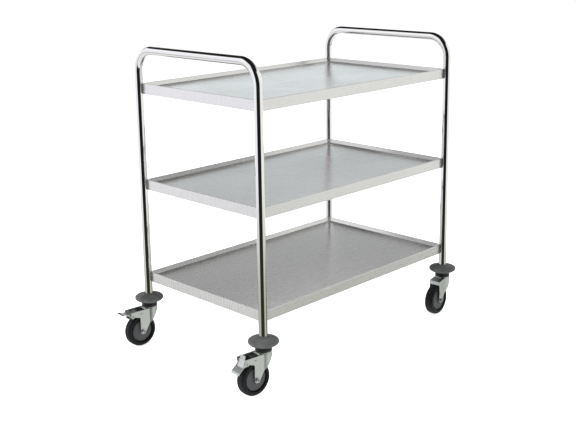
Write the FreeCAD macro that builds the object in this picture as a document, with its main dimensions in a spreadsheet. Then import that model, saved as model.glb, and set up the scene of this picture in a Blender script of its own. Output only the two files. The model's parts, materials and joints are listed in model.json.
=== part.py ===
import FreeCAD, Part
import math
import os

import Sketcher

# Three-tier stainless steel service trolley on four swivel castors.
# Millimetres. +X runs along the length, +Y across the depth, +Z up from the floor. The origin is on the
# floor, in the middle of the trolley's plan, castors and brake pedals included.
# A castor's own frame has its origin on the floor under the stem: its X points the way the wheel trails.

SIZES = {
    # End frames: one bent tube each, two legs and a push handle.
    "leg_spacing_length": 835,
    "leg_spacing_depth": 510,
    "overall_height": 930,
    "tube_diameter": 25,
    "tube_wall": 1.2,
    "handle_bend_radius": 65,
    "tube_bottom": 150,
    "origin_shift": 31,
    # Shelves: pressed trays with a rolled rim, a sloping inner wall and a turned-in hem.
    "sheet_thickness": 1,
    "skirt_depth": 31,
    "skirt_inset": 2.6,
    "notch_gap": 0.2,
    "notch_round": 2.2,
    "rim_width": 4,
    "tray_depth": 12,
    "slope_run": 7,
    "hem_width": 10,
    "top_shelf_height": 817,
    "middle_shelf_height": 524,
    "bottom_shelf_height": 231,
    "stiffener_length": 740,
    "stiffener_width": 50,
    "stiffener_flange": 12,
    "stiffener_depth": 14,
    # Shelf fastening: M6 button screws through saddle washers into rivet nuts in the legs.
    "screw_drop": 22,
    "screw_radius": 3,
    "screw_length": 13,
    "screw_head_radius": 5.25,
    "screw_head_height": 3.3,
    "screw_socket": 2.3,
    "screw_hole_radius": 3.3,
    "washer_radius": 5.4,
    "washer_thickness": 1,
    "nut_radius": 4.5,
    "nut_length": 10,
    # Castors.
    "wheel_radius": 50,
    "trail": 38,
    "bumper_radius": 43.5,
    "bumper_bottom": 136.5,
    "bumper_top": 160,
    "stem_radius": 5,
    "stem_top": 200,
    "race_radius": 22.4,
    "race_top": 129.5,
    "flange_radius": 24,
    "flange_top": 122,
    "race_seat": 123.2,
    "plate_top": 118.5,
    "plate_thickness": 2.3,
    "king_radius": 8,
    "upper_ball_radius": 2.2,
    "upper_ball_circle": 17,
    "lower_ball_radius": 1.8,
    "lower_ball_circle": 12,
    "fork_half_width": 19.8,
    "fork_nose_radius": 24,
    "fork_arm_reach": 78.5,
    "boss_radius": 9,
    "axle_radius": 4,
    "axle_head_radius": 6.2,
    "axle_head_height": 4,
    "sleeve_radius": 6,
    "hub_face": 11.5,
    "hub_radius": 33,
    "hub_key_half_width": 7,
    "hub_key_depth": 5,
    "tyre_half_width": 14.8,
    "tread_half_width": 8.5,
    "crown_drop": 0.8,
    # Brake: a cam pedal on a pin across the fork arms.
    "brake_pin_reach": 70,
    "brake_pin_height": 104,
    "brake_pin_radius": 3,
    "cover_pin_reach": 42.5,
    "cover_pin_height": 108,
    "cover_pin_radius": 2,
    "brake_travel": 58,
    "pedal_half_width": 15,
    "shoe_reach": 12.4,
}

RUNNING_GAP = 0.05
NAMES = {"front": -1, "back": 1, "left": -1, "right": 1}
SHELVES = ("top_shelf", "middle_shelf", "bottom_shelf")
# Corner: (side of the length, side of the depth, swivel angle away from straight back, brake).
CORNERS = {
    "front_left": ("left", "front", -5.6, "pressed"),
    "back_left": ("left", "back", -5.0, "released"),
    "front_right": ("right", "front", 4.5, None),
    "back_right": ("right", "back", -3.0, None),
}

doc = FreeCAD.newDocument("ServiceTrolley")
sheet = doc.addObject("Spreadsheet::Sheet", "Sizes")
for row, (alias, value) in enumerate(SIZES.items(), start=1):
    sheet.set(f"A{row}", alias.replace("_", " "))
    sheet.set(f"B{row}", str(value))
    sheet.setAlias(f"B{row}", alias)
doc.recompute()

parts = []


class Size:
    """A number together with the spreadsheet expression that it comes from."""

    def __init__(self, value, text):
        self.value = value
        self.text = text

    def __add__(self, other):
        other = as_size(other)
        return Size(self.value + other.value, f"({self.text} + {other.text})")

    def __sub__(self, other):
        other = as_size(other)
        return Size(self.value - other.value, f"({self.text} - {other.text})")

    def __mul__(self, other):
        other = as_size(other)
        return Size(self.value * other.value, f"({self.text} * {other.text})")

    def __truediv__(self, other):
        other = as_size(other)
        return Size(self.value / other.value, f"({self.text} / {other.text})")

    def __radd__(self, other):
        return as_size(other) + self

    def __rsub__(self, other):
        return as_size(other) - self

    def __rmul__(self, other):
        return as_size(other) * self

    def __neg__(self):
        return 0 - self


def as_size(item):
    return item if isinstance(item, Size) else Size(float(item), f"({float(item)})")


def cell(alias):
    return Size(float(sheet.get(alias)), f"Sizes.{alias}")


def root_of(size):
    return Size(math.sqrt(size.value), f"sqrt({size.text})")


def cosine(angle):
    return Size(math.cos(math.radians(angle.value)), f"cos({angle.text})")


def sine(angle):
    return Size(math.sin(math.radians(angle.value)), f"sin({angle.text})")


# ---- sketches -------------------------------------------------------------------------------------------


def new_body(name):
    return doc.addObject("PartDesign::Body", name)


def new_sketch(body, name, plane, height=0):
    """A sketch on one of the body's origin planes, raised along the plane's normal."""
    sketch = body.newObject("Sketcher::SketchObject", name)
    support = next(item for item in body.Origin.OriginFeatures if item.Role == plane)
    sketch.AttachmentSupport = [(support, "")]
    sketch.MapMode = "FlatFace"
    sketch.setExpression("AttachmentOffset.Base.z", as_size(height).text)
    return sketch


def bind(sketch, constraint, size):
    index = sketch.addConstraint(constraint)
    sketch.setExpression(f"Constraints[{index}]", size.text)


def arc_between(start, finish, radius):
    """The arc under half a turn from start to finish: to the left for a positive radius."""
    chord = finish - start
    half = chord.Length / 2
    rise = math.sqrt(max(radius * radius - half * half, 0))
    side = FreeCAD.Vector(-chord.y, chord.x, 0).normalize() * math.copysign(rise, radius)
    centre = start + chord / 2 + side
    first, last = (start, finish) if radius > 0 else (finish, start)
    angles = [math.atan2(point.y - centre.y, point.x - centre.x) for point in (first, last)]
    circle = Part.Circle(centre, FreeCAD.Vector(0, 0, 1), abs(radius))
    return Part.ArcOfCircle(circle, angles[0], angles[1])


def draw_outline(sketch, vertices, closed=True):
    """Draws (x, y) and (x, y, radius) vertices. A radius makes the stretch to the next vertex an arc."""
    points = [FreeCAD.Vector(as_size(vertex[0]).value, as_size(vertex[1]).value, 0) for vertex in vertices]
    count = len(vertices) if closed else len(vertices) - 1
    ends = []
    for number in range(count):
        start = points[number]
        finish = points[(number + 1) % len(points)]
        if len(vertices[number]) == 2:
            ends.append((sketch.addGeometry(Part.LineSegment(start, finish), False), 1, 2))
            continue
        radius = as_size(vertices[number][2])
        index = sketch.addGeometry(arc_between(start, finish, radius.value), False)
        ends.append((index, 1, 2) if radius.value > 0 else (index, 2, 1))
        length = radius if radius.value > 0 else -radius
        bind(sketch, Sketcher.Constraint("Radius", index, length.value), length)
    for number, (index, first, _) in enumerate(ends):
        if closed or number:
            before = ends[number - 1]
            sketch.addConstraint(Sketcher.Constraint("Coincident", before[0], before[2], index, first))
        place_point(sketch, index, first, vertices[number])
    if not closed:
        index, _, last = ends[-1]
        place_point(sketch, index, last, vertices[-1])


def place_point(sketch, index, end, vertex):
    x, y = as_size(vertex[0]), as_size(vertex[1])
    bind(sketch, Sketcher.Constraint("DistanceX", -1, 1, index, end, x.value), x)
    bind(sketch, Sketcher.Constraint("DistanceY", -1, 1, index, end, y.value), y)


def draw_circle(sketch, x, y, radius):
    x, y, radius = as_size(x), as_size(y), as_size(radius)
    centre = FreeCAD.Vector(x.value, y.value, 0)
    index = sketch.addGeometry(Part.Circle(centre, FreeCAD.Vector(0, 0, 1), radius.value), False)
    place_point(sketch, index, 3, (x, y))
    bind(sketch, Sketcher.Constraint("Radius", index, radius.value), radius)


# ---- features and pieces --------------------------------------------------------------------------------


def add_feature(body, kind, sketch, **settings):
    feature = body.newObject(f"PartDesign::{kind}", f"{body.Name}_{kind}")
    feature.Profile = sketch
    for name, setting in settings.items():
        if isinstance(setting, Size):
            feature.setExpression(name, setting.text)
        else:
            setattr(feature, name, setting)
    return feature


def turned(name, vertices, plane="XZ_Plane"):
    """A turned piece: an outline of (radius, distance along the axis) revolved about the sketch's own Y."""
    body = new_body(name)
    sketch = new_sketch(body, f"{name}_section", plane)
    draw_outline(sketch, vertices)
    add_feature(body, "Revolution", sketch, ReferenceAxis=(sketch, ["V_Axis"]), Angle=360)
    return body


def slab(name, vertices, width, middle=0):
    """A side outline of (x, z) vertices, padded across Y about a middle plane."""
    body = new_body(name)
    sketch = new_sketch(body, f"{name}_outline", "XZ_Plane", -as_size(middle) - as_size(width) / 2)
    draw_outline(sketch, vertices)
    add_feature(body, "Pad", sketch, Length=as_size(width))
    return body


def plan_slab(name, vertices, bottom, height):
    """A plan outline of (x, y) vertices, padded upwards."""
    body = new_body(name)
    sketch = new_sketch(body, f"{name}_plan", "XY_Plane", bottom)
    draw_outline(sketch, vertices)
    add_feature(body, "Pad", sketch, Length=as_size(height))
    return body


def primitive(kind, name, **sizes):
    piece = doc.addObject(f"Part::{kind}", name)
    for size_name, size in sizes.items():
        piece.setExpression(size_name, as_size(size).text)
    return piece


def cylinder_along(name, radius, length, start, direction):
    """A cylinder from a start point of three sizes, along a fixed direction."""
    piece = primitive("Cylinder", name, Radius=radius, Height=length)
    turn = FreeCAD.Rotation(FreeCAD.Vector(0, 0, 1), FreeCAD.Vector(*direction))
    piece.Placement = FreeCAD.Placement(FreeCAD.Vector(), turn)
    move_to(piece, *start)
    return piece


def cut(name, base, tool):
    piece = doc.addObject("Part::Cut", name)
    piece.Base = base
    piece.Tool = tool
    return piece


def common(name, base, tool):
    piece = doc.addObject("Part::Common", name)
    piece.Base = base
    piece.Tool = tool
    return piece


def fuse(name, pieces):
    piece = doc.addObject("Part::MultiFuse", name)
    piece.Shapes = pieces
    return piece


def group(name, pieces):
    piece = doc.addObject("Part::Compound", name)
    piece.Links = pieces
    return piece


def move_to(piece, x, y, z):
    for axis, size in zip("xyz", (x, y, z)):
        piece.setExpression(f"Placement.Base.{axis}", as_size(size).text)


def finish_part(piece, label, x=0, y=0, z=0, spin=0, tilt=0):
    """Names a sub-part and puts it in its place, tilted about its own Y, then turned about the vertical."""
    piece.Label = label
    turn = FreeCAD.Rotation(spin, 0, 0) * FreeCAD.Rotation(FreeCAD.Vector(0, 1, 0), tilt)
    piece.Placement = FreeCAD.Placement(FreeCAD.Vector(), turn)
    move_to(piece, x, y, z)
    parts.append(piece)
    return piece


# ---- end frames -----------------------------------------------------------------------------------------


def leg_x(side):
    return cell("leg_spacing_length") * NAMES[side] / 2 + cell("origin_shift")


def leg_y(side):
    return cell("leg_spacing_depth") * NAMES[side] / 2


def screw_height(shelf):
    return cell(f"{shelf}_height") - cell("screw_drop")


def inward(side, end):
    """The horizontal direction from a leg to the middle of the shelf corner."""
    return (-NAMES[side] * math.sqrt(0.5), -NAMES[end] * math.sqrt(0.5), 0)


def end_frame(side):
    name = f"end_frame_{side}"
    half = cell("leg_spacing_depth") / 2
    bend = cell("handle_bend_radius")
    top = cell("overall_height") - cell("tube_diameter") / 2
    bottom = cell("tube_bottom")
    tube = new_body(f"{name}_tube")
    path = new_sketch(tube, f"{name}_path", "YZ_Plane")
    draw_outline(
        path,
        [
            (-half, bottom),
            (-half, top - bend, -bend),
            (bend - half, top),
            (half - bend, top, -bend),
            (half, top - bend),
            (half, bottom),
        ],
        closed=False,
    )
    section = new_sketch(tube, f"{name}_section", "XY_Plane", bottom)
    draw_circle(section, 0, -half, cell("tube_diameter") / 2)
    draw_circle(section, 0, -half, cell("tube_diameter") / 2 - cell("tube_wall"))
    add_feature(tube, "AdditivePipe", section, Spine=(path, []))
    drills = []
    for end in ("front", "back"):
        for shelf_name in SHELVES:
            start = (0, leg_y(end), screw_height(shelf_name))
            drill = cylinder_along(
                f"{name}_{end}_{shelf_name}_drill",
                cell("nut_radius") + RUNNING_GAP,
                cell("tube_diameter"),
                start,
                inward(side, end),
            )
            drills.append(drill)
    frame = cut(name, tube, group(f"{name}_drills", drills))
    finish_part(frame, name, x=leg_x(side))


# ---- shelves --------------------------------------------------------------------------------------------


def notched_plan(inset):
    """A shelf outline at an inset from the skirt: a rectangle whose corners wrap round the legs."""
    inset = as_size(inset)
    half_x = cell("leg_spacing_length") / 2
    half_y = cell("leg_spacing_depth") / 2
    edge = cell("skirt_inset") + inset
    notch = cell("tube_diameter") / 2 + cell("notch_gap") + inset
    bend = cell("notch_round")
    along = root_of((notch + bend) * (notch + bend) - (edge + bend) * (edge + bend))
    near = (edge + bend) * notch / (notch + bend)
    far = along * notch / (notch + bend)
    corner = [(along, edge, bend), (far, near, -notch), (near, far, bend), (edge, along)]
    vertices = []
    for sign_x, sign_y in ((1, -1), (1, 1), (-1, 1), (-1, -1)):
        for step in corner:
            away_x, away_y = step[:2] if sign_x * sign_y < 0 else step[1::-1]
            vertices.append((sign_x * (half_x - away_x), sign_y * (half_y - away_y), *step[2:]))
    return vertices


def shelf_sketch(body, name, inset, height):
    sketch = new_sketch(body, f"{body.Name}_{name}", "XY_Plane", height)
    draw_outline(sketch, notched_plan(inset))
    return sketch


def shelf(name):
    """A pressed tray: skirt, rolled rim, sloping wall, deck and a hem turned in at the bottom."""
    thick = cell("sheet_thickness")
    skirt = cell("skirt_depth")
    deep = cell("tray_depth")
    rim = cell("rim_width")
    run = cell("slope_run")
    lean = root_of(deep * deep + run * run) / deep * thick
    body = new_body(f"{name}_tray")
    add_feature(body, "Pad", shelf_sketch(body, "skirt", 0, -skirt), Length=skirt)
    hollow = shelf_sketch(body, "hollow", thick, thick - skirt)
    add_feature(body, "Pocket", hollow, Length=skirt - 2 * thick, Reversed=True)
    mouth = shelf_sketch(body, "mouth", thick + cell("hem_width"), -skirt)
    add_feature(body, "Pocket", mouth, Length=thick, Reversed=True)
    dish_top = shelf_sketch(body, "dish_top", rim - lean, 0)
    dish_bottom = shelf_sketch(body, "dish_bottom", rim - lean + run * (deep + thick) / deep, -deep - thick)
    add_feature(body, "AdditiveLoft", dish_top, Sections=[dish_bottom], Ruled=True)
    recess_top = shelf_sketch(body, "recess_top", rim, 0)
    recess_bottom = shelf_sketch(body, "recess_bottom", rim + run, -deep)
    add_feature(body, "SubtractiveLoft", recess_top, Sections=[recess_bottom], Ruled=True)
    drills = []
    for side in ("left", "right"):
        for end in ("front", "back"):
            start = (leg_x(side) - cell("origin_shift"), leg_y(end), -cell("screw_drop"))
            drill = cylinder_along(
                f"{name}_{side}_{end}_drill",
                cell("screw_hole_radius"),
                cell("tube_diameter"),
                start,
                inward(side, end),
            )
            drills.append(drill)
    tray = cut(name, body, group(f"{name}_drills", drills))
    finish_part(tray, name, x=cell("origin_shift"), z=cell(f"{name}_height"))


def stiffener(shelf_name):
    """A hat-section channel under a deck, along its middle."""
    name = f"{shelf_name}_stiffener"
    thick = cell("sheet_thickness")
    half = cell("stiffener_width") / 2
    flange = half + cell("stiffener_flange")
    deep = cell("stiffener_depth")
    body = new_body(name)
    section = new_sketch(body, f"{name}_section", "YZ_Plane", -cell("stiffener_length") / 2)
    draw_outline(
        section,
        [
            (-flange, 0),
            (-flange, -thick),
            (-half, -thick),
            (-half, -deep),
            (half, -deep),
            (half, -thick),
            (flange, -thick),
            (flange, 0),
            (half - thick, 0),
            (half - thick, thick - deep),
            (thick - half, thick - deep),
            (thick - half, 0),
        ],
    )
    add_feature(body, "Pad", section, Length=cell("stiffener_length"))
    deck_underside = cell(f"{shelf_name}_height") - cell("tray_depth") - thick
    finish_part(body, name, x=cell("origin_shift"), z=deck_underside)


# ---- shelf fasteners ------------------------------------------------------------------------------------


def shelf_screw():
    """A button-head screw along Z: the head's underside is at the origin, the shank goes down."""
    shank = cell("screw_radius")
    head = cell("screw_head_radius")
    high = cell("screw_head_height")
    tip = -cell("screw_length")
    outline = [
        (0, tip),
        (shank, tip),
        (shank, 0),
        (head, 0),
        (head, high / 5, head),
        (shank / 2, high),
        (0, high),
    ]
    blank = turned("screw_blank", outline)
    socket = primitive("Prism", "screw_socket", Circumradius=cell("screw_socket"), Height=high)
    move_to(socket, 0, 0, high / 3)
    return cut("screw", blank, socket)


def saddle_washer():
    """A washer whose underside is hollowed to sit on the round corner of a shelf."""
    thick = cell("washer_thickness")
    wall = cell("tube_diameter") / 2 + cell("notch_gap") + cell("sheet_thickness")
    blank = primitive("Cylinder", "washer_blank", Radius=cell("washer_radius"), Height=wall + thick)
    bore = primitive("Cylinder", "washer_bore", Radius=cell("screw_hole_radius"), Height=wall + thick)
    seat = cylinder_along("washer_seat", wall, 40, (0, 20, 0), (0, -1, 0))
    return cut("washer", blank, fuse("washer_tools", [bore, seat]))


def rivet_nut():
    """A blind rivet nut along Z: its mouth faces up and its bulb grips the tube wall from inside."""
    mouth = -0.8
    sleeve = cell("nut_radius")
    bore = cell("screw_radius") + 0.02
    end = mouth - cell("nut_length")
    bulb = sleeve + 1.5
    outline = [
        (bore, end),
        (sleeve, end),
        (sleeve, -5),
        (bulb, -4.4),
        (bulb, -3.4),
        (sleeve, -3),
        (sleeve, mouth),
        (bore, mouth),
    ]
    return turned("rivet_nut", outline)


def at_each_shelf_corner(label, piece, radius):
    """Copies of one fastener at every shelf corner, at a radius from the leg's axis and facing the shelf."""
    copies = []
    for side in ("left", "right"):
        for end in ("front", "back"):
            for shelf_name in SHELVES:
                copy = doc.addObject("App::Link", f"{label}_{side}_{end}_{shelf_name}")
                copy.LinkedObject = piece
                away = FreeCAD.Vector(*inward(side, end))
                upright = FreeCAD.Rotation(FreeCAD.Vector(), FreeCAD.Vector(0, 0, 1), away, "ZYX")
                copy.Placement = FreeCAD.Placement(FreeCAD.Vector(), upright)
                x = leg_x(side) + radius * away.x
                y = leg_y(end) + radius * away.y
                move_to(copy, x, y, screw_height(shelf_name))
                copies.append(copy)
    finish_part(group(label, copies), label)


# ---- castors: fixed side --------------------------------------------------------------------------------


def stem(name):
    """The stud, the fixed ball race and the king-pin head that holds the fork up, in one turned piece."""
    stud = cell("stem_radius")
    king = cell("king_radius")
    ring = cell("race_radius")
    flange = cell("flange_radius")
    flange_low = cell("plate_top") + 0.6
    flange_high = cell("flange_top")
    seat = cell("race_seat")
    head = cell("lower_ball_circle") + 2.5
    head_top = cell("plate_top") - cell("plate_thickness") - 2 * cell("lower_ball_radius") - 0.3
    return turned(
        name,
        [
            (0, head_top - 2.6),
            (head - 1.5, head_top - 2.6),
            (head, head_top - 1),
            (head, head_top),
            (king, head_top),
            (king, seat),
            (ring - 2.2, seat),
            (ring - 2.2, flange_low),
            (flange, flange_low),
            (flange, flange_high),
            (ring, flange_high),
            (ring, cell("race_top") - 3, 3),
            (ring - 3, cell("race_top")),
            (stud, cell("race_top")),
            (stud, cell("stem_top")),
            (0, cell("stem_top")),
        ],
    )


def seal(name):
    """The black dust cup: a skirt round the race, a narrow waist, and a head as wide as the bumper's foot."""
    bore = cell("stem_radius") + RUNNING_GAP
    race = cell("race_radius") + RUNNING_GAP
    hem, low, high = cell("flange_top") + 0.2, cell("race_top"), cell("bumper_bottom")
    skirt = cell("flange_radius") - 0.2
    head = cell("bumper_radius") - 21
    outline = [(bore, low), (race, low), (race, hem), (skirt, hem), (skirt, low - 1.5)]
    outline += [(head - 1.5, low + 2), (head, high - 1.5), (head, high), (bore, high)]
    return turned(name, outline)


def bumper(name):
    """A soft saucer with a domed top, a coned underside and a round rim; the leg stands in its socket."""
    bore = cell("stem_radius") + RUNNING_GAP
    tube = cell("tube_diameter") / 2
    low, high = cell("bumper_bottom"), cell("bumper_top")
    rim = cell("bumper_radius")
    return turned(
        name,
        [
            (bore, low),
            (rim - 21, low),
            (rim - 4, low + 4.5, 6.2),
            (rim, low + 10, 6.2),
            (rim - 3, low + 16.5, 62),
            (tube + 3, high, 2.4),
            (tube + 0.1, high + 0.4),
            (tube + 0.1, cell("tube_bottom")),
            (bore, cell("tube_bottom")),
        ],
    )


def expander(name):
    """The split sleeve and its cone nut, which swell inside the leg and hold the castor."""
    bore = cell("stem_radius") + RUNNING_GAP
    inside = cell("tube_diameter") / 2 - cell("tube_wall")
    bottom = cell("tube_bottom") + 2
    top = cell("stem_top") - 10
    sleeve = turned(f"{name}_sleeve", [(bore, bottom), (inside, bottom), (inside, top), (bore, top)])
    wide = inside - 0.4
    cone = [(bore, top), (wide - 2.6, top), (wide, top + 6), (wide, top + 9), (bore, top + 9)]
    return group(name, [sleeve, turned(f"{name}_cone", cone)])


# ---- castors: swivel side -------------------------------------------------------------------------------


def fork_plan(wide, nose, reach):
    """The plan of a pressed fork: a round nose about the stem and two straight sides."""
    crease = root_of(nose * nose - wide * wide)
    return [(crease, -wide), (reach, -wide), (reach, wide), (crease, wide, nose), (-nose, 0, nose)]


def fork_side(braked):
    """The side outline of a fork, round the axle boss and up the nose."""
    top = cell("plate_top")
    hub = cell("wheel_radius")
    boss = cell("boss_radius")
    back = cell("trail") + boss
    front = -cell("fork_nose_radius") - 3
    reach = cell("fork_arm_reach")
    arms = [(reach, top), (reach, top - 12.5), (back + 5, top - 21, 5), (back, top - 26)]
    crown = [(cell("king_radius") + 12, top), (back - 3, top - 4), (back, top - 6)]
    return [
        (front, top),
        *(arms if braked else crown),
        (back, hub, -boss),
        (cell("trail") - boss * math.sqrt(0.75), hub - boss / 2),
        (14, hub + 21),
        (2, hub + 34),
        (-12, hub + 55),
        (front, top - 1.5),
    ]


def fork_cavity(braked):
    """The side outline of the space inside a fork: open behind the top plate, or closed by a rear wall."""
    thick = cell("plate_thickness")
    ceiling = cell("plate_top") - thick
    high = cell("plate_top") + 20
    far = cell("fork_arm_reach") + 20
    wall = cell("trail") + cell("boss_radius") - thick
    over_tyre = 2 * cell("wheel_radius") + 1.5
    behind = [(20, ceiling), (20, high), (far, high)]
    crown = [
        (cell("king_radius") + 12, ceiling),
        (wall - 2, ceiling - 4),
        (wall, ceiling - 5.4),
        (wall, over_tyre),
        (far, over_tyre),
    ]
    return [(-40, -5), (-40, ceiling), *(behind if braked else crown), (far, -5)]


def fork(name, braked):
    """A pressed fork: the crossing of a plan and a side outline, less the same crossing for its inside."""
    wide = cell("fork_half_width")
    nose = cell("fork_nose_radius")
    thick = cell("plate_thickness")
    top = cell("plate_top")
    trail = cell("trail")
    span = 3 * wide
    reach = cell("fork_arm_reach") if braked else trail + cell("boss_radius")
    outer_plan = plan_slab(f"{name}_outer_plan", fork_plan(wide, nose, reach), 0, top)
    outer_side = slab(f"{name}_outer_side", fork_side(braked), span)
    inner_outline = fork_plan(wide - thick, nose - thick, reach + 10)
    inner_plan = plan_slab(f"{name}_inner_plan", inner_outline, -5, top + 25)
    inner_side = slab(f"{name}_inner_side", fork_cavity(braked), span)
    outside = common(f"{name}_outside", outer_plan, outer_side)
    inside = common(f"{name}_inside", inner_plan, inner_side)
    king_hole = cylinder_along(f"{name}_king_hole", cell("king_radius") + 0.3, 10, (0, 0, top - 5), (0, 0, 1))
    at_axle = (trail, -span / 2, cell("wheel_radius"))
    bore = cell("axle_radius") + RUNNING_GAP
    axle_hole = cylinder_along(f"{name}_axle_hole", bore, span, at_axle, (0, 1, 0))
    tools = [inside, king_hole, axle_hole]
    if braked:
        for pin in ("brake_pin", "cover_pin"):
            start = (cell(f"{pin}_reach"), -span / 2, cell(f"{pin}_height"))
            bore = cell(f"{pin}_radius") + RUNNING_GAP
            tools.append(cylinder_along(f"{name}_{pin}_hole", bore, span, start, (0, 1, 0)))
    return cut(name, outside, fuse(f"{name}_tools", tools))


def ball_rings(name):
    """The two rows of balls that carry the fork: above and below its top plate."""
    top = cell("plate_top")
    rows = (
        (12, cell("upper_ball_circle"), cell("upper_ball_radius"), top + cell("upper_ball_radius")),
        (
            10,
            cell("lower_ball_circle"),
            cell("lower_ball_radius"),
            top - cell("plate_thickness") - cell("lower_ball_radius"),
        ),
    )
    balls = []
    for count, circle, radius, height in rows:
        for number in range(count):
            angle = as_size(360 / count * number)
            ball = primitive("Sphere", f"{name}_{len(balls)}", Radius=radius)
            move_to(ball, circle * cosine(angle), circle * sine(angle), height)
            balls.append(ball)
    return group(name, balls)


def axle(name):
    """The wheel bolt, with a round socket head and a flange, and its lock nut, along Y through the origin."""
    shank = cell("axle_radius")
    outside = cell("fork_half_width")
    head = cell("axle_head_radius")
    high = cell("axle_head_height")
    flange = 1
    nut_height = 6
    rod = cylinder_along(f"{name}_shank", shank, outside * 2 + 9, (0, -outside - 8, 0), (0, 1, 0))
    cap = cylinder_along(f"{name}_head", head, high + flange, (0, outside, 0), (0, 1, 0))
    washer = cylinder_along(f"{name}_flange", head + 1.4, flange, (0, outside, 0), (0, 1, 0))
    socket = hexagon(f"{name}_socket", head / 2, high, outside + flange + high / 4)
    bolt = cut(f"{name}_bolt", fuse(f"{name}_bolt_blank", [rod, cap, washer]), socket)
    nut_blank = hexagon(f"{name}_nut_blank", shank * 1.85, nut_height, -outside - nut_height)
    thread = cylinder_along(f"{name}_thread", shank, 20, (0, -outside - 13, 0), (0, 1, 0))
    return group(name, [bolt, cut(f"{name}_nut", nut_blank, thread)])


def hexagon(name, corner_radius, height, start):
    piece = primitive("Prism", name, Circumradius=corner_radius, Height=height)
    piece.Placement = FreeCAD.Placement(FreeCAD.Vector(), FreeCAD.Rotation(FreeCAD.Vector(1, 0, 0), -90))
    move_to(piece, 0, start, 0)
    return piece


def axle_sleeve(name):
    """The steel sleeve that the fork clamps and the hub turns on."""
    length = 2 * (cell("fork_half_width") - cell("plate_thickness"))
    start = (0, -length / 2, 0)
    outer = cylinder_along(f"{name}_outer", cell("sleeve_radius"), length, start, (0, 1, 0))
    inner = cylinder_along(f"{name}_inner", cell("axle_radius") + RUNNING_GAP, length, start, (0, 1, 0))
    return cut(name, outer, inner)


# ---- wheels ---------------------------------------------------------------------------------------------


def mirrored(half_outline):
    """An outline of (radius, distance) vertices from the outer face to the middle, made whole."""
    other = [(radius, -distance) for radius, distance in reversed(half_outline)]
    return [*half_outline, *other]


def wheel_hub(name):
    """A moulded hub about Y: a bored boss, a dished web and a rim that keys into the tyre."""
    bore = cell("sleeve_radius") + RUNNING_GAP
    face = cell("hub_face")
    edge = cell("hub_radius")
    boss = cell("fork_half_width") - cell("plate_thickness") - 1.2
    half = [
        (bore, boss),
        (bore + 5, boss),
        (bore + 6, face + 2),
        (bore + 9, face + 0.6),
        (edge - 1, face),
        (edge, face - 1),
        (edge, cell("hub_key_half_width")),
        (edge + cell("hub_key_depth"), cell("hub_key_half_width")),
    ]
    return turned(name, mirrored(half), "XY_Plane")


def tyre(name):
    """A tyre about Y: a deep groove round the hub, round shoulders and a slightly crowned tread."""
    edge = cell("hub_radius")
    wide = cell("tyre_half_width")
    tread = cell("tread_half_width")
    outer = cell("wheel_radius")
    crown = cell("crown_drop")
    bow = (tread * tread + crown * crown) / (2 * crown)
    key = cell("hub_key_half_width")
    groove = key + 1.2
    shoulder = 8
    sidewall = 3
    near_side = [
        (edge + cell("hub_key_depth"), -key),
        (edge, -key),
        (edge, -groove),
        (edge + 3.4, -groove),
        (edge + 5, 2.2 - wide, sidewall),
        (edge + 8.5, -wide, shoulder),
        (outer - crown, -tread, bow),
    ]
    far_side = [
        (outer - crown, tread, shoulder),
        (edge + 8.5, wide, sidewall),
        (edge + 5, wide - 2.2),
        (edge + 3.4, groove),
        (edge, groove),
        (edge, key),
        (edge + cell("hub_key_depth"), key),
    ]
    return turned(name, near_side + far_side, "XY_Plane")


# ---- brakes ---------------------------------------------------------------------------------------------


def headed_pin(name, radius):
    """A pin along Y across the fork arms, with a low coned head at each end."""
    wide = cell("fork_half_width")
    head = radius * 1.45
    half = [(0, wide + 1.4), (radius, wide + 1.4), (head, wide + 0.6), (head, wide), (radius, wide)]
    return turned(name, mirrored(half), "XY_Plane")


def brake_pins(name):
    """The pedal's pivot pin, at the origin, and the pin that holds the brake cover."""
    pivot = headed_pin(f"{name}_pivot", cell("brake_pin_radius"))
    holder = headed_pin(f"{name}_holder", cell("cover_pin_radius"))
    reach = cell("cover_pin_reach") - cell("brake_pin_reach")
    move_to(holder, reach, 0, cell("cover_pin_height") - cell("brake_pin_height"))
    return group(name, [pivot, holder])


def brake_cover(name):
    """The moulded bridge between the fork arms, hollowed to clear the tyre."""
    trail = cell("trail")
    clear = cell("wheel_radius") + 1.5
    front, back = as_size(20.5), as_size(46)
    top = cell("plate_top") - 5.5

    def over_wheel(x):
        return cell("wheel_radius") + root_of(clear * clear - (x - trail) * (x - trail))

    outline = [(front, top), (back, top), (back, over_wheel(back), clear), (front, over_wheel(front))]
    width = 2 * (cell("fork_half_width") - cell("plate_thickness"))
    bridge = slab(f"{name}_bridge", outline, width)
    start = (cell("cover_pin_reach"), -width / 2, cell("cover_pin_height"))
    bore = cell("cover_pin_radius") + RUNNING_GAP
    return cut(name, bridge, cylinder_along(f"{name}_bore", bore, width, start, (0, 1, 0)))


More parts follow.
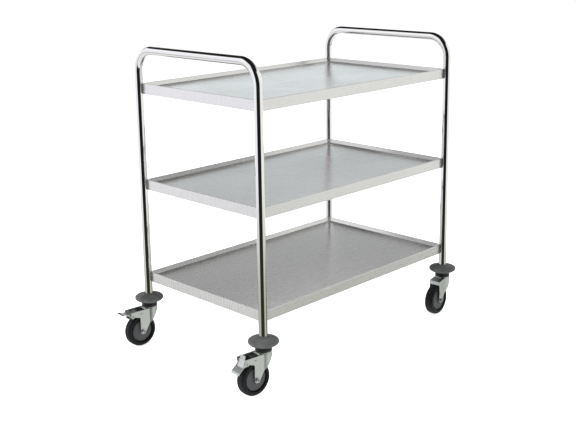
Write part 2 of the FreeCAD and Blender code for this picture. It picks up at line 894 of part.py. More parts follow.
def pedal(name):
    """The pressed-down pedal about its pin: two cheeks, a crossbar with a release tab, a neck and a tread."""
    half = cell("pedal_half_width")
    width = 2 * half
    cheek = [(-6, -5), (5, -8), (14, -9.5), (17, -7.5), (10.4, 0.5, 10.5), (3, 10), (-3, 10), (-7, 3)]
    plates = []
    for side in ("left", "right"):
        plates.append(slab(f"{name}_cheek_{side}", cheek, 2, NAMES[side] * (half - 1)))
    plates.append(slab(f"{name}_crossbar", [(1.5, 10.5), (5.3, 3.6), (7.5, 4.5), (4.5, 11)], width))
    plates.append(slab(f"{name}_tab", [(0.4, 22), (2, 9), (4, 10), (2.4, 22)], width - 8))
    plates.append(slab(f"{name}_neck", [(5.5, 3.7), (12.9, -8.5), (14.6, -7.5), (7.2, 4.4)], width - 3))
    tread = [(14.5, -7), (13.1, -8.6), (26, -19, -8), (29, -25), (30.7, -24.6, 10), (27.2, -17.5)]
    plates.append(slab(f"{name}_tread", tread, width + 5))
    bore = cell("brake_pin_radius") + RUNNING_GAP
    hole = cylinder_along(f"{name}_hole", bore, 3 * half, (0, -1.5 * half, 0), (0, 1, 0))
    return cut(name, fuse(f"{name}_plates", plates), hole)


def brake_shoe(name):
    """The moulded cam between the cheeks, whose lobe meets the tyre when the pedal is down."""
    reach = cell("shoe_reach")
    down = cell("brake_pin_height") - cell("wheel_radius")
    along = cell("brake_pin_reach") - cell("trail")
    facing = math.degrees(math.atan2(-down.value, -along.value))

    def polar(radius, angle, *bend):
        angle = as_size(facing + angle)
        return (as_size(radius) * cosine(angle), as_size(radius) * sine(angle), *bend)

    back = [polar(6, angle) for angle in (75, 140, 220, 285)]
    outline = [polar(reach, -24, reach), polar(reach, 24), *back]
    width = 2 * cell("pedal_half_width") - 4.4
    bore = cell("brake_pin_radius") + RUNNING_GAP
    block = slab(f"{name}_block", outline, width)
    hole = cylinder_along(f"{name}_hole", bore, width, (0, -width / 2, 0), (0, 1, 0))
    return cut(name, block, hole)


def castor(corner):
    side, end, angle, brake = CORNERS[corner]
    spin = 180 + angle
    heading = as_size(spin)
    stem_place = {"x": leg_x(side), "y": leg_y(end), "spin": spin}

    def out_along(reach, height):
        return {
            "x": leg_x(side) + reach * cosine(heading),
            "y": leg_y(end) + reach * sine(heading),
            "z": height,
            "spin": spin,
        }

    for make in (stem, seal, bumper, expander):
        label = f"{corner}_{make.__name__}"
        finish_part(make(label), label, **stem_place)
    finish_part(fork(f"{corner}_fork", brake is not None), f"{corner}_fork", **stem_place)
    finish_part(ball_rings(f"{corner}_balls"), f"{corner}_balls", **stem_place)
    for make in (axle, axle_sleeve, wheel_hub, tyre):
        label = f"{corner}_{make.__name__}"
        finish_part(make(label), label, **out_along(cell("trail"), cell("wheel_radius")))
    if brake is None:
        return
    at_pin = out_along(cell("brake_pin_reach"), cell("brake_pin_height"))
    tilt = -cell("brake_travel").value if brake == "released" else 0
    finish_part(brake_cover(f"{corner}_brake_cover"), f"{corner}_brake_cover", **stem_place)
    finish_part(brake_pins(f"{corner}_brake_pins"), f"{corner}_brake_pins", **at_pin)
    for make in (pedal, brake_shoe):
        label = f"{corner}_{make.__name__}"
        finish_part(make(label), label, **at_pin, tilt=tilt)


# ---- the whole trolley ----------------------------------------------------------------------------------

for side_name in ("left", "right"):
    end_frame(side_name)
for shelf_label in SHELVES:
    shelf(shelf_label)
    stiffener(shelf_label)
corner_wall = cell("tube_diameter") / 2 + cell("notch_gap") + cell("sheet_thickness")
at_each_shelf_corner("shelf_screws", shelf_screw(), corner_wall + cell("washer_thickness"))
at_each_shelf_corner("saddle_washers", saddle_washer(), as_size(0))
at_each_shelf_corner("rivet_nuts", rivet_nut(), cell("tube_diameter") / 2)
for corner_name in CORNERS:
    castor(corner_name)
doc.recompute()

for item in doc.Objects:
    if {"Invalid", "Error"} & set(item.State):
        raise RuntimeError(f"{item.Label} did not build: {item.State}")
os.makedirs("parts", exist_ok=True)
for part in parts:
    if part.Shape.isNull() or not part.Shape.isValid():
        raise RuntimeError(f"{part.Label} has no valid shape")
    part.Shape.exportStep(os.path.join("parts", f"{part.Label}.step"))
print(len(parts), "sub-parts written")
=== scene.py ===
import json
import math
from functools import cache

import bmesh
import bpy
from mathutils import Matrix, Vector


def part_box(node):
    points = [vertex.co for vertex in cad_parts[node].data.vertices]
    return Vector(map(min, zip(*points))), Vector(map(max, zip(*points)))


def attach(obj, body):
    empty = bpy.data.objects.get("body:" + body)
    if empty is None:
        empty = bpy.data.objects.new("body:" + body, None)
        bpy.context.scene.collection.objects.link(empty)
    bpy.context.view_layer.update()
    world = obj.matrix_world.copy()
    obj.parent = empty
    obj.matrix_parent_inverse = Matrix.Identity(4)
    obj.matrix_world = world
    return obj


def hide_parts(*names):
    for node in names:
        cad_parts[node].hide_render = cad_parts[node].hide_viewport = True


# Food service trolley: bright polished end frames, brushed trays and zinc-plated castors, in metres.

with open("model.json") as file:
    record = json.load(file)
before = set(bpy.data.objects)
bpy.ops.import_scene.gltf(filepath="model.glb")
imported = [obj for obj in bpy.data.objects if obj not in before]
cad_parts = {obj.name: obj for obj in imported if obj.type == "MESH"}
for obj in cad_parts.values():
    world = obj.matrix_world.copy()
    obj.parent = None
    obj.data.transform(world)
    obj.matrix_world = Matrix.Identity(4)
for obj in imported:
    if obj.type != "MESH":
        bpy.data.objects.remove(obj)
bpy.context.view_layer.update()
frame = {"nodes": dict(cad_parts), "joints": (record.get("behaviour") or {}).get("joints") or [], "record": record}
MM = 0.001
SIDES = {"left": -1, "right": 1}
ENDS = {"front": -1, "back": 1}
SHELVES = ("top_shelf", "middle_shelf", "bottom_shelf")
CORNERS = tuple(f"{end}_{side}" for side in SIDES for end in ENDS)
BRAKED = ("front_left", "back_left")
JOINTS = {joint["name"]: joint for joint in frame["joints"]}

# Sizes of the CAD model that its boxes don't give.
TUBE_WALL = 1.2 * MM
HANDLE_BEND = 65 * MM
SHEET = 1 * MM
SKIRT_INSET = 2.6 * MM
NOTCH_GAP = 0.2 * MM
NOTCH_ROUND = 2.2 * MM
RIM_WIDTH = 4 * MM
TRAY_DEPTH = 12 * MM
SLOPE_RUN = 7 * MM
HEM_WIDTH = 10 * MM
DECK_EDGE = 8 * MM
STUD_CLEARANCE = 6 * MM
BUMPER_SOCKET = 9 * MM
SLEEVE_BORE = 6.05 * MM
HUB_RADIUS = 33 * MM
HUB_KEY_DEPTH = 5 * MM
HUB_KEY_HALF_WIDTH = 7 * MM
CROWN_DROP = 0.8 * MM

# The camera looks at AIM from DISTANCE away, HEADING degrees round from the front towards the left end.
AIM = Vector((-0.047, -0.025, 0.553))
DISTANCE = 3.0
HEADING = 45.39
TILT = 12.83
ROLL = -0.81
SENSOR = 36.0
LENS = 61.15
SHIFT_UP = -0.09


# ---- node helpers ---------------------------------------------------------------------------------------


class Nodes:
    """A node tree with short ways to add nodes and join them."""

    def __init__(self, tree):
        self.tree = tree
        tree.nodes.clear()

    def add(self, kind, **settings):
        node = self.tree.nodes.new(kind)
        for name, value in settings.items():
            setattr(node, name, value)
        return node

    def set_input(self, node, name, value):
        if isinstance(value, bpy.types.NodeSocket):
            self.tree.links.new(value, node.inputs[name])
        else:
            node.inputs[name].default_value = value

    def math(self, operation, first, second=None):
        node = self.add("ShaderNodeMath", operation=operation)
        self.set_input(node, 0, first)
        if second is not None:
            self.set_input(node, 1, second)
        return node.outputs[0]

    def position(self):
        """The point on the piece, in the shared frame."""
        return self.add("ShaderNodeTexCoord").outputs["Object"]

    def stretched(self, vector, x, y, z):
        node = self.add("ShaderNodeVectorMath", operation="MULTIPLY")
        self.set_input(node, 0, vector)
        node.inputs[1].default_value = (x, y, z)
        return node.outputs[0]

    def noise(self, vector, scale, detail, roughness):
        node = self.add("ShaderNodeTexNoise")
        self.set_input(node, "Vector", vector)
        node.inputs["Scale"].default_value = scale
        node.inputs["Detail"].default_value = detail
        node.inputs["Roughness"].default_value = roughness
        return node.outputs["Fac"]

    def ramp(self, factor, low, high, start, end):
        """A number that goes from low to high while factor goes from start to end."""
        node = self.add("ShaderNodeMapRange", clamp=True)
        self.set_input(node, "Value", factor)
        node.inputs["From Min"].default_value = start
        node.inputs["From Max"].default_value = end
        node.inputs["To Min"].default_value = low
        node.inputs["To Max"].default_value = high
        return node.outputs["Result"]

    def smooth_step(self, factor, start, end):
        node = self.add("ShaderNodeMapRange", interpolation_type="SMOOTHSTEP")
        self.set_input(node, "Value", factor)
        node.inputs["From Min"].default_value = start
        node.inputs["From Max"].default_value = end
        return node.outputs["Result"]

    def mix(self, factor, first, second):
        node = self.add("ShaderNodeMix", data_type="RGBA")
        self.set_input(node, "Factor", factor)
        first_colour, second_colour = node.inputs[6], node.inputs[7]
        for socket, colour in ((first_colour, first), (second_colour, second)):
            if isinstance(colour, bpy.types.NodeSocket):
                self.tree.links.new(colour, socket)
            else:
                socket.default_value = (*colour, 1)
        return node.outputs[2]

    def bump(self, height, distance, strength):
        node = self.add("ShaderNodeBump")
        self.set_input(node, "Height", height)
        node.inputs["Distance"].default_value = distance
        node.inputs["Strength"].default_value = strength
        return node.outputs["Normal"]


def new_material(name):
    material = bpy.data.materials.new(name)
    material.use_nodes = True
    nodes = Nodes(material.node_tree)
    output = nodes.add("ShaderNodeOutputMaterial")
    shader = nodes.add("ShaderNodeBsdfPrincipled")
    nodes.set_input(output, "Surface", shader.outputs["BSDF"])
    return material, nodes, shader


# ---- materials ------------------------------------------------------------------------------------------


def polished_tube():
    """Bright polished stainless tube, with faint hand marks and very fine drawing lines along it."""
    material, nodes, shader = new_material("polished_tube")
    place = nodes.position()
    smudges = nodes.noise(place, 14, 4, 0.6)
    lines = nodes.noise(nodes.stretched(place, 900, 900, 12), 1, 2, 0.5)
    shader.inputs["Metallic"].default_value = 1
    nodes.set_input(shader, "Base Color", nodes.mix(smudges, (0.80, 0.80, 0.79), (0.86, 0.86, 0.85)))
    nodes.set_input(shader, "Roughness", nodes.ramp(smudges, 0.035, 0.085, 0.35, 0.7))
    nodes.set_input(shader, "Normal", nodes.bump(lines, 0.000004, 0.5))
    return material


def brushed_sheet():
    """Brushed stainless sheet. The grain runs along X, and stands upright on the two end faces."""
    material, nodes, shader = new_material("brushed_sheet")
    place = nodes.position()
    normal = nodes.add("ShaderNodeNewGeometry").outputs["True Normal"]
    across = nodes.add("ShaderNodeSeparateXYZ")
    nodes.set_input(across, "Vector", normal)
    end_face = nodes.math("GREATER_THAN", nodes.math("ABSOLUTE", across.outputs["X"]), 0.7)
    along = nodes.noise(nodes.stretched(place, 6, 1500, 1500), 1, 3, 0.6)
    upright = nodes.noise(nodes.stretched(place, 1500, 1500, 6), 1, 3, 0.6)
    grain = nodes.add("ShaderNodeMix", data_type="FLOAT")
    nodes.set_input(grain, 0, end_face)
    nodes.set_input(grain, 2, along)
    nodes.set_input(grain, 3, upright)
    grain = grain.outputs[0]
    clouds = nodes.noise(place, 5, 4, 0.6)
    tone = nodes.mix(grain, (0.655, 0.655, 0.65), (0.735, 0.735, 0.73))
    shader.inputs["Metallic"].default_value = 0.88
    shader.inputs["Anisotropic"].default_value = 0.5
    nodes.set_input(shader, "Base Color", tone)
    fine_roughness = nodes.ramp(grain, 0.2, 0.28, 0.3, 0.7)
    broad_roughness = nodes.ramp(clouds, 0.0, 0.04, 0.35, 0.7)
    nodes.set_input(shader, "Roughness", nodes.math("ADD", fine_roughness, broad_roughness))
    nodes.set_input(shader, "Normal", nodes.bump(grain, 0.000015, 0.3))
    direction = nodes.add("ShaderNodeCombineXYZ")
    direction.inputs["X"].default_value = 1
    direction.inputs["Z"].default_value = 0.2
    nodes.set_input(shader, "Tangent", direction.outputs["Vector"])
    return material


def zinc_plate():
    """Bright zinc plating: a faint mottle, a soft gloss and small dull patches."""
    material, nodes, shader = new_material("zinc_plate")
    place = nodes.position()
    mottle = nodes.noise(place, 260, 5, 0.65)
    patches = nodes.noise(place, 45, 3, 0.5)
    shader.inputs["Metallic"].default_value = 1
    nodes.set_input(shader, "Base Color", nodes.mix(mottle, (0.54, 0.57, 0.55), (0.74, 0.77, 0.74)))
    nodes.set_input(shader, "Roughness", nodes.ramp(patches, 0.34, 0.48, 0.35, 0.65))
    nodes.set_input(shader, "Normal", nodes.bump(mottle, 0.00006, 0.3))
    return material


def fastener_steel():
    """Plain stainless fasteners with fine turning marks."""
    material, nodes, shader = new_material("fastener_steel")
    place = nodes.position()
    marks = nodes.noise(place, 700, 3, 0.6)
    shader.inputs["Metallic"].default_value = 1
    nodes.set_input(shader, "Base Color", nodes.mix(marks, (0.52, 0.53, 0.53), (0.66, 0.67, 0.67)))
    nodes.set_input(shader, "Roughness", nodes.ramp(marks, 0.2, 0.34, 0.3, 0.7))
    return material


def ball_steel():
    """Ground bearing balls."""
    material, nodes, shader = new_material("ball_steel")
    haze = nodes.noise(nodes.position(), 300, 2, 0.5)
    shader.inputs["Metallic"].default_value = 1
    shader.inputs["Base Color"].default_value = (0.75, 0.75, 0.76, 1)
    nodes.set_input(shader, "Roughness", nodes.ramp(haze, 0.06, 0.14, 0.3, 0.7))
    return material


def moulded(name, dark, light, rough, grain_scale, grain_depth):
    """A moulded rubber or plastic with a fine leathery grain and slightly worn, lighter patches."""
    material, nodes, shader = new_material(name)
    place = nodes.position()
    grain = nodes.noise(place, grain_scale, 3, 0.6)
    wear = nodes.noise(place, 40, 4, 0.6)
    worn = nodes.ramp(wear, 0, 0.5, 0.3, 0.75)
    speckled = nodes.ramp(grain, 0, 0.5, 0.35, 0.65)
    nodes.set_input(shader, "Base Color", nodes.mix(nodes.math("ADD", worn, speckled), dark, light))
    nodes.set_input(shader, "Roughness", nodes.ramp(wear, rough - 0.07, rough + 0.07, 0.3, 0.7))
    nodes.set_input(shader, "Normal", nodes.bump(grain, grain_depth, 0.6))
    return material


def grey_rubber():
    return moulded("grey_rubber", (0.038, 0.042, 0.040), (0.128, 0.135, 0.131), 0.62, 520, 0.0006)


def tyre_rubber():
    material = moulded("tyre_rubber", (0.003, 0.0035, 0.004), (0.009, 0.0095, 0.010), 0.58, 900, 0.0001)
    material.node_tree.nodes["Principled BSDF"].inputs["Specular IOR Level"].default_value = 0.28
    return material


def hub_plastic():
    return moulded("hub_plastic", (0.036, 0.039, 0.042), (0.078, 0.083, 0.09), 0.55, 800, 0.00025)


def black_plastic():
    return moulded("black_plastic", (0.008, 0.008, 0.009), (0.016, 0.016, 0.017), 0.42, 1300, 0.00006)


MATERIALS = {
    make.__name__: make()
    for make in (
        polished_tube,
        brushed_sheet,
        zinc_plate,
        fastener_steel,
        ball_steel,
        grey_rubber,
        tyre_rubber,
        hub_plastic,
        black_plastic,
    )
}


def finish_cad_nodes():
    """Every carried-over CAD node takes the material of its own slot in the record."""
    for row in frame["record"]["subparts"]:
        mesh = frame["nodes"][row["node"]].data
        mesh.materials.clear()
        mesh.materials.append(MATERIALS[row["material_slot"]])


# ---- mesh helpers ---------------------------------------------------------------------------------------


def rounded(corners, steps=5):
    """Points along (x, y) and (x, y, radius) corners; a corner that has a radius becomes an arc."""
    points = []
    for number, (x, y, *radius) in enumerate(corners):
        here = Vector((x, y))
        if not radius:
            points.append(here)
            continue
        before = (Vector(corners[number - 1][:2]) - here).normalized()
        after = (Vector(corners[(number + 1) % len(corners)][:2]) - here).normalized()
        half = before.angle(after) / 2
        reach = radius[0] / math.tan(half)
        centre = here + (before + after).normalized() * radius[0] / math.sin(half)
        start = here + before * reach - centre
        turn = start.angle_signed(here + after * reach - centre)
        for step in range(steps + 1):
            points.append(centre + Matrix.Rotation(-turn * step / steps, 2) @ start)
    return points


def skin(name, rings, wrap=False, caps=False):
    """A mesh of quads between closed rings. Wrap joins the last ring to the first; caps close both ends."""
    mesh = bmesh.new()
    rows = [[mesh.verts.new(point) for point in ring] for ring in rings]
    pairs = list(zip(rows, rows[1:]))
    if wrap:
        pairs.append((rows[-1], rows[0]))
    for first, second in pairs:
        for number in range(len(first)):
            mesh.faces.new((first[number - 1], first[number], second[number], second[number - 1]))
    if caps:
        mesh.faces.new(rows[0])
        mesh.faces.new(reversed(rows[-1]))
    bmesh.ops.remove_doubles(mesh, verts=mesh.verts, dist=MM / 1000)
    bmesh.ops.recalc_face_normals(mesh, faces=mesh.faces)
    return new_piece(name, mesh)


def new_piece(name, mesh):
    data = bpy.data.meshes.new(name)
    mesh.to_mesh(data)
    mesh.free()
    data.shade_smooth()
    piece = bpy.data.objects.new(name, data)
    bpy.context.scene.collection.objects.link(piece)
    return piece


def flatten_shading(piece):
    """Keeps broad faces flat right up to their rounded edges."""
    modifier = piece.modifiers.new("flat_faces", "WEIGHTED_NORMAL")
    modifier.weight = 100
    modifier.keep_sharp = True


def stand_for(piece, node, body):
    """The piece moves with a body and shows in place of a CAD node, with the finish of that node's slot."""
    row = next(row for row in frame["record"]["subparts"] if row["node"] == node)
    piece.data.materials.clear()
    piece.data.materials.append(MATERIALS[row["material_slot"]])
    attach(piece, body)
    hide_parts(node)


def turned_piece(name, outline, base, axis, segments=96):
    """Revolves (radius, distance) points about an axis through a base point."""
    axis = Vector(axis).normalized()
    across = axis.orthogonal().normalized()
    beside = axis.cross(across)
    rings = []
    for radius, distance in outline:
        ring = []
        for number in range(segments):
            angle = math.tau * number / segments
            outward = across * math.cos(angle) + beside * math.sin(angle)
            ring.append(Vector(base) + axis * distance + outward * radius)
        rings.append(ring)
    piece = skin(name, rings, wrap=True)
    flatten_shading(piece)
    return piece


# ---- end frames -----------------------------------------------------------------------------------------


@cache
def tube_radius():
    low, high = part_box("end_frame_left")
    return (high.x - low.x) / 2


@cache
def leg_place(side, end):
    """The axis of a leg: the middle of its end frame's tube."""
    low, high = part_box(f"end_frame_{side}")
    middle = (low + high) / 2
    half_span = (high.y - low.y) / 2 - tube_radius()
    return Vector((middle.x, middle.y + ENDS[end] * half_span, 0))


def end_frame_tube(side):
    """One tube bent into two legs and a handle, drawn as one smooth sweep with its wall and its open ends."""
    node = f"end_frame_{side}"
    low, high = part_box(node)
    radius = tube_radius()
    front, back = leg_place(side, "front"), leg_place(side, "back")
    top = high.z - radius
    sideways = Vector((1, 0, 0))
    around = 64
    corners = [
        (front.y, low.z),
        (front.y, top, HANDLE_BEND),
        (back.y, top, HANDLE_BEND),
        (back.y, low.z),
    ]
    path = rounded(corners, steps=28)
    centres = [Vector((front.x, point.x, point.y)) for point in path]

    def rings(size):
        made = []
        for number, centre in enumerate(centres):
            before = centres[max(number - 1, 0)]
            after = centres[min(number + 1, len(centres) - 1)]
            outward = sideways.cross(after - before).normalized()
            ring = []
            for step in range(around):
                angle = math.tau * step / around
                ring.append(centre + (outward * math.cos(angle) + sideways * math.sin(angle)) * size)
            made.append(ring)
        return made

    outside = rings(radius)
    inside = rings(radius - TUBE_WALL)
    piece = skin(f"{node}_tube", outside + inside[::-1], wrap=True)
    flatten_shading(piece)
    stand_for(piece, node, "frame")


# ---- shelves --------------------------------------------------------------------------------------------


def corner_plan(inset, steps=7):
    """How far inside a leg's axis a shelf corner runs: a small bend, a hollow round the leg, a small bend."""
    edge = SKIRT_INSET + inset
    hollow = tube_radius() + NOTCH_GAP + inset
    rise = edge + NOTCH_ROUND
    middle = hollow + NOTCH_ROUND
    along = math.sqrt(middle * middle - rise * rise)
    lean = math.atan2(rise, along)
    bend = []
    for step in range(steps + 1):
        angle = (lean - math.pi / 2) * step / steps - math.pi / 2
        bend.append(Vector((along, rise)) + NOTCH_ROUND * Vector((math.cos(angle), math.sin(angle))))
    round_leg = []
    for step in range(1, steps):
        angle = lean + (math.pi / 2 - 2 * lean) * step / steps
        round_leg.append(hollow * Vector((math.cos(angle), math.sin(angle))))
    return bend + round_leg + [point.yx for point in reversed(bend)]


def shelf_ring(inset, height):
    """One closed line round a shelf, a given way inside its outer faces and hollowed round the four legs."""
    ring = []
    for side, end in (("right", "front"), ("right", "back"), ("left", "back"), ("left", "front")):
        leg = leg_place(side, end)
        run = corner_plan(inset)
        if side == "right" and end == "back" or side == "left" and end == "front":
            run = reversed(run)
        for away in run:
            ring.append(Vector((leg.x - SIDES[side] * away.x, leg.y - ENDS[end] * away.y, height)))
    return ring


def shelf_tray(node):
    """A pressed tray in one sheet with its bends: deck, sloping wall, rounded rim, skirt and turned-in hem."""
    low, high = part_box(node)
    skirt = high.z - low.z
    foot = RIM_WIDTH + SLOPE_RUN
    lean = math.hypot(TRAY_DEPTH, SLOPE_RUN) / TRAY_DEPTH * SHEET
    slope = SLOPE_RUN / TRAY_DEPTH
    under = RIM_WIDTH - lean
    under_foot = under + slope * (TRAY_DEPTH + SHEET)
    profile = [
        (foot + DECK_EDGE, TRAY_DEPTH),
        (foot, TRAY_DEPTH, 2.5 * MM),
        (RIM_WIDTH, 0, 1.3 * MM),
        (0, 0, 1.6 * MM),
        (0, skirt, 1.2 * MM),
        (SHEET + HEM_WIDTH, skirt, 0.3 * MM),
        (SHEET + HEM_WIDTH, skirt - SHEET, 0.3 * MM),
        (SHEET, skirt - SHEET, 0.4 * MM),
        (SHEET, SHEET, 0.6 * MM),
        (under + slope * SHEET, SHEET, 0.4 * MM),
        (under_foot, TRAY_DEPTH + SHEET, 3.5 * MM),
        (foot + DECK_EDGE, TRAY_DEPTH + SHEET),
    ]
    rings = [shelf_ring(inset, high.z - drop) for inset, drop in rounded(profile)]
    piece = skin(f"{node}_tray", rings, caps=True)
    flatten_shading(piece)
    stand_for(piece, node, "frame")


# ---- castors --------------------------------------------------------------------------------------------


def softened(node, body, width, crown=None):
    """A copy of a CAD node with its hard edges rounded by a small width, and by crown along its top."""
    mesh = bmesh.new()
    mesh.from_mesh(frame["nodes"][node].data)
    bmesh.ops.remove_doubles(mesh, verts=mesh.verts, dist=MM / 200)
    bmesh.ops.dissolve_limit(mesh, angle_limit=math.radians(1), verts=mesh.verts, edges=mesh.edges)
    top = max(vert.co.z for vert in mesh.verts)
    weights = mesh.edges.layers.float.new("bevel_weight_edge")
    widest = max(width, crown or 0)
    for edge in mesh.edges:
        if not edge.is_manifold or edge.calc_face_angle() < math.radians(32):
            continue
        crowned = crown and min(vert.co.z for vert in edge.verts) > top - MM
        edge[weights] = (crown if crowned else width) / widest
    piece = new_piece(f"{node}_shape", mesh)
    bevel = piece.modifiers.new("round_edges", "BEVEL")
    bevel.limit_method = "WEIGHT"
    bevel.width = widest
    bevel.segments = 3
    bevel.use_clamp_overlap = True
    flatten_shading(piece)
    stand_for(piece, node, body)


def bumper_shape(corner):
    """A thick rubber saucer: a rounded rim, a shallow dome that rises to the leg, and a coned underside."""
    node = f"{corner}_bumper"
    low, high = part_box(node)
    rim = (high.x - low.x) / 2
    leg = Vector(JOINTS[f"{corner}_swivel"]["pos_m"])
    tube = tube_radius()
    outline = [
        (STUD_CLEARANCE, low.z),
        (rim - 21 * MM, low.z, 2 * MM),
        (rim - 4 * MM, low.z + 4.8 * MM, 2.5 * MM),
        (rim, low.z + 8.4 * MM, 2.5 * MM),
        (rim, low.z + 14 * MM, 2 * MM),
        (rim - 4 * MM, low.z + 17.4 * MM, 3 * MM),
        (tube + 13 * MM, high.z - 2.6 * MM, 30 * MM),
        (tube + 3 * MM, high.z, 1.5 * MM),
        (tube, high.z, 0.6 * MM),
        (tube, high.z - BUMPER_SOCKET),
        (STUD_CLEARANCE, high.z - BUMPER_SOCKET),
    ]
    piece = turned_piece(f"{node}_shape", rounded(outline), (leg.x, leg.y, 0), (0, 0, 1))
    stand_for(piece, node, "frame")


def both_faces(half):
    """A wheel's outline from its half: the same vertices again, from the middle to the other face."""
    return half + [(reach, -along, *bend) for reach, along, *bend in reversed(half)]


def tyre_shape(corner):
    """A tyre with a deep groove round the hub, a raised bead, round shoulders and two fine mould lines."""
    node = f"{corner}_tyre"
    joint = JOINTS[f"{corner}_roll"]
    radius = Vector(joint["pos_m"]).z
    half = [
        (HUB_RADIUS + HUB_KEY_DEPTH, HUB_KEY_HALF_WIDTH),
        (HUB_RADIUS, HUB_KEY_HALF_WIDTH),
        (HUB_RADIUS, 8.2 * MM),
        (36.4 * MM, 8.2 * MM, 0.6 * MM),
        (37.2 * MM, 12.8 * MM, 0.8 * MM),
        (41.2 * MM, 14.7 * MM, 1.5 * MM),
        (46.5 * MM, 13.6 * MM, 3 * MM),
        (radius - CROWN_DROP, 9 * MM, 3 * MM),
        (radius - 0.05 * MM, 1.6 * MM, 20 * MM),
        (radius - 0.05 * MM, 0.5 * MM),
        (radius - 0.35 * MM, 0.3 * MM),
    ]
    outline = rounded(both_faces(half), steps=4)
    piece = turned_piece(f"{node}_shape", outline, joint["pos_m"], joint["axis"], 128)
    stand_for(piece, node, f"{corner}_wheel")


def hub_shape(corner):
    """A moulded hub: a bored boss, a shallow dished web with a raised lip, and a rim keyed into the tyre."""
    node = f"{corner}_wheel_hub"
    joint = JOINTS[f"{corner}_roll"]
    half = [
        (SLEEVE_BORE, 16.3 * MM, 0.3 * MM),
        (11 * MM, 16.3 * MM, 0.8 * MM),
        (12.4 * MM, 13 * MM, 1 * MM),
        (28.6 * MM, 11.4 * MM, 0.5 * MM),
        (29.2 * MM, 12 * MM, 0.4 * MM),
        (31.8 * MM, 12 * MM, 0.8 * MM),
        (HUB_RADIUS, 10.6 * MM, 0.4 * MM),
        (HUB_RADIUS, HUB_KEY_HALF_WIDTH),
        (HUB_RADIUS + HUB_KEY_DEPTH - 0.1 * MM, HUB_KEY_HALF_WIDTH - 0.1 * MM),
    ]
    outline = rounded(both_faces(half))
    piece = turned_piece(f"{node}_shape", outline, joint["pos_m"], joint["axis"], 128)
    stand_for(piece, node, f"{corner}_wheel")


def castor_shapes(corner):
    """The detailed pieces that stand for one castor's CAD nodes."""
    bumper_shape(corner)
    tyre_shape(corner)
    hub_shape(corner)
    softened(f"{corner}_fork", f"{corner}_castor", 0.5 * MM, 2 * MM)
    softened(f"{corner}_axle", f"{corner}_castor", 0.4 * MM)
    softened(f"{corner}_stem", "frame", 0.4 * MM)
    softened(f"{corner}_seal", "frame", 0.4 * MM)
    if corner in BRAKED:
        softened(f"{corner}_brake_cover", f"{corner}_castor", 0.8 * MM)
        softened(f"{corner}_brake_pins", f"{corner}_castor", 0.3 * MM)
        softened(f"{corner}_pedal", f"{corner}_pedal", 0.4 * MM)
        softened(f"{corner}_brake_shoe", f"{corner}_pedal", 0.4 * MM)


# ---- studio ---------------------------------------------------------------------------------------------


def camera_axes():
    heading, tilt, roll = (math.radians(angle) for angle in (HEADING, TILT, ROLL))
    flat = math.cos(tilt)
    back = Vector((-math.sin(heading) * flat, -math.cos(heading) * flat, math.sin(tilt)))
    right = Vector((math.cos(heading), -math.sin(heading), 0))
    up = back.cross(right)
    turned_right = right * math.cos(roll) + up * math.sin(roll)
    turned_up = up * math.cos(roll) - right * math.sin(roll)
    return turned_right, turned_up, back


def add_camera():
    data = bpy.data.cameras.new("camera")
    data.sensor_width = SENSOR
    data.lens = LENS
    data.shift_y = SHIFT_UP
    camera = bpy.data.objects.new("camera", data)
    right, up, back = camera_axes()
    turn = Matrix((right, up, back)).transposed()
    camera.matrix_world = Matrix.Translation(AIM + back * DISTANCE) @ turn.to_4x4()
    bpy.context.scene.collection.objects.link(camera)
    bpy.context.scene.camera = camera


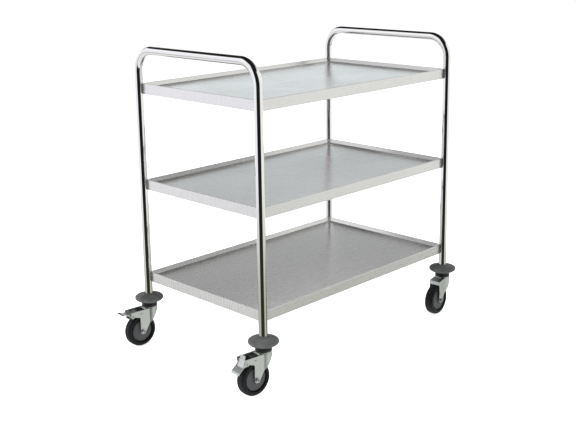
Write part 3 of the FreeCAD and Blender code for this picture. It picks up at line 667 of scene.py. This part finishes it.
def add_world():
    """A white studio, dark behind the camera and overhead, which gives the tubes their dark bands."""
    world = bpy.data.worlds.new("studio")
    bpy.context.scene.world = world
    world.use_nodes = True
    nodes = Nodes(world.node_tree)
    direction = nodes.add("ShaderNodeTexCoord").outputs["Generated"]
    parts = nodes.add("ShaderNodeSeparateXYZ")
    nodes.set_input(parts, "Vector", direction)
    height = parts.outputs["Z"]
    level = nodes.add("ShaderNodeVectorMath", operation="NORMALIZE")
    nodes.set_input(level, 0, nodes.stretched(direction, 1, 1, 0))

    def towards(degrees):
        """How nearly a direction points to this heading, from -1 to 1."""
        angle = math.radians(degrees)
        node = nodes.add("ShaderNodeVectorMath", operation="DOT_PRODUCT")
        nodes.set_input(node, 0, level.outputs[0])
        node.inputs[1].default_value = (math.cos(angle), math.sin(angle), 0)
        return node.outputs["Value"]

    def facing(degrees, start, end):
        """1 in a fan of directions about a heading, fading to 0 away from it."""
        return nodes.smooth_step(towards(degrees), start, end)

    def both(first, second):
        return nodes.math("MULTIPLY", first, second)

    # A faintly warm white room, bluer towards the left, which the end skirts show.
    colour = nodes.mix(facing(135, 0.6, 0.95), (1.0, 1.0, 0.975), (1.03, 1.01, 1.09))
    # Ahead of the camera it darkens with height, so that each deck is darker than the one above it.
    forward = nodes.mix(nodes.smooth_step(height, 0.16, 0.28), (1.2, 1.3, 1.34), (0.49, 0.485, 0.48))
    forward = nodes.mix(nodes.smooth_step(height, 0.28, 0.42), forward, (0.24, 0.22, 0.215))
    colour = nodes.mix(facing(45, 0.55, 0.85), colour, forward)
    # A brighter patch for the sloping inner walls at the right end.
    slope_light = both(facing(130, 0.9, 0.98), nodes.smooth_step(height, 0.25, 0.4))
    colour = nodes.mix(slope_light, colour, (1.2, 1.2, 1.22))
    # Below the horizon, olive grey, darker in a stripe to the right for the noses of the forks.
    below = nodes.smooth_step(height, -0.22, -0.38)
    colour = nodes.mix(below, colour, (0.52, 0.525, 0.46))
    low_right = both(facing(-22, 0.93, 0.98), nodes.smooth_step(height, -0.28, -0.36))
    colour = nodes.mix(low_right, colour, (0.12, 0.125, 0.1))
    # A dark wedge behind the camera, a pale ground, and a dark ceiling that reaches lower at the back.
    dark = (0.012, 0.012, 0.013)
    olive = (0.03, 0.032, 0.018)
    behind = facing(-137, 0.66, 0.78)
    colour = nodes.mix(behind, colour, nodes.mix(below, dark, olive))
    colour = nodes.mix(nodes.smooth_step(height, -0.41, -0.52), colour, (0.92, 0.93, 0.94))
    colour = nodes.mix(both(facing(75, 0.5, 0.8), nodes.smooth_step(height, 0.48, 0.58)), colour, dark)
    colour = nodes.mix(nodes.smooth_step(height, 0.66, 0.8), colour, dark)
    # The camera itself sees plain white behind the trolley.
    seen = nodes.add("ShaderNodeLightPath").outputs["Is Camera Ray"]
    background = nodes.add("ShaderNodeBackground")
    nodes.set_input(background, "Color", nodes.mix(seen, colour, (1, 1, 1)))
    output = nodes.add("ShaderNodeOutputWorld")
    nodes.set_input(output, "Surface", background.outputs["Background"])


def add_area_light(name, place, size, power):
    data = bpy.data.lights.new(name, "AREA")
    data.size = size
    data.energy = power
    light = bpy.data.objects.new(name, data)
    light.location = place
    light.rotation_euler = (-Vector(place)).to_track_quat("-Z", "Y").to_euler()
    light.visible_glossy = False
    bpy.context.scene.collection.objects.link(light)


def add_floor():
    mesh = bpy.data.meshes.new("floor")
    half = 60.0
    corners = [(-half, -half, 0), (half, -half, 0), (half, half, 0), (-half, half, 0)]
    mesh.from_pydata(corners, [], [(0, 1, 2, 3)])
    material, nodes, shader = new_material("floor")
    shader.inputs["Base Color"].default_value = (0.92, 0.92, 0.92, 1)
    shader.inputs["Roughness"].default_value = 0.9
    shader.inputs["Specular IOR Level"].default_value = 0
    shader.inputs["Emission Color"].default_value = (1, 1, 1, 1)
    shader.inputs["Emission Strength"].default_value = 0.8
    mesh.materials.append(material)
    floor = bpy.data.objects.new("floor", mesh)
    floor.visible_glossy = False
    bpy.context.scene.collection.objects.link(floor)


def add_studio():
    add_world()
    add_camera()
    add_floor()
    add_area_light("overhead", (0.5, -0.5, 4.0), 4.0, 160)
    add_area_light("left_back", (-3.0, 0.6, 1.8), 1.6, 90)
    bpy.context.scene.view_settings.view_transform = "Standard"


finish_cad_nodes()
for side in SIDES:
    end_frame_tube(side)
for shelf in SHELVES:
    shelf_tray(shelf)
for corner in CORNERS:
    castor_shapes(corner)
add_studio()
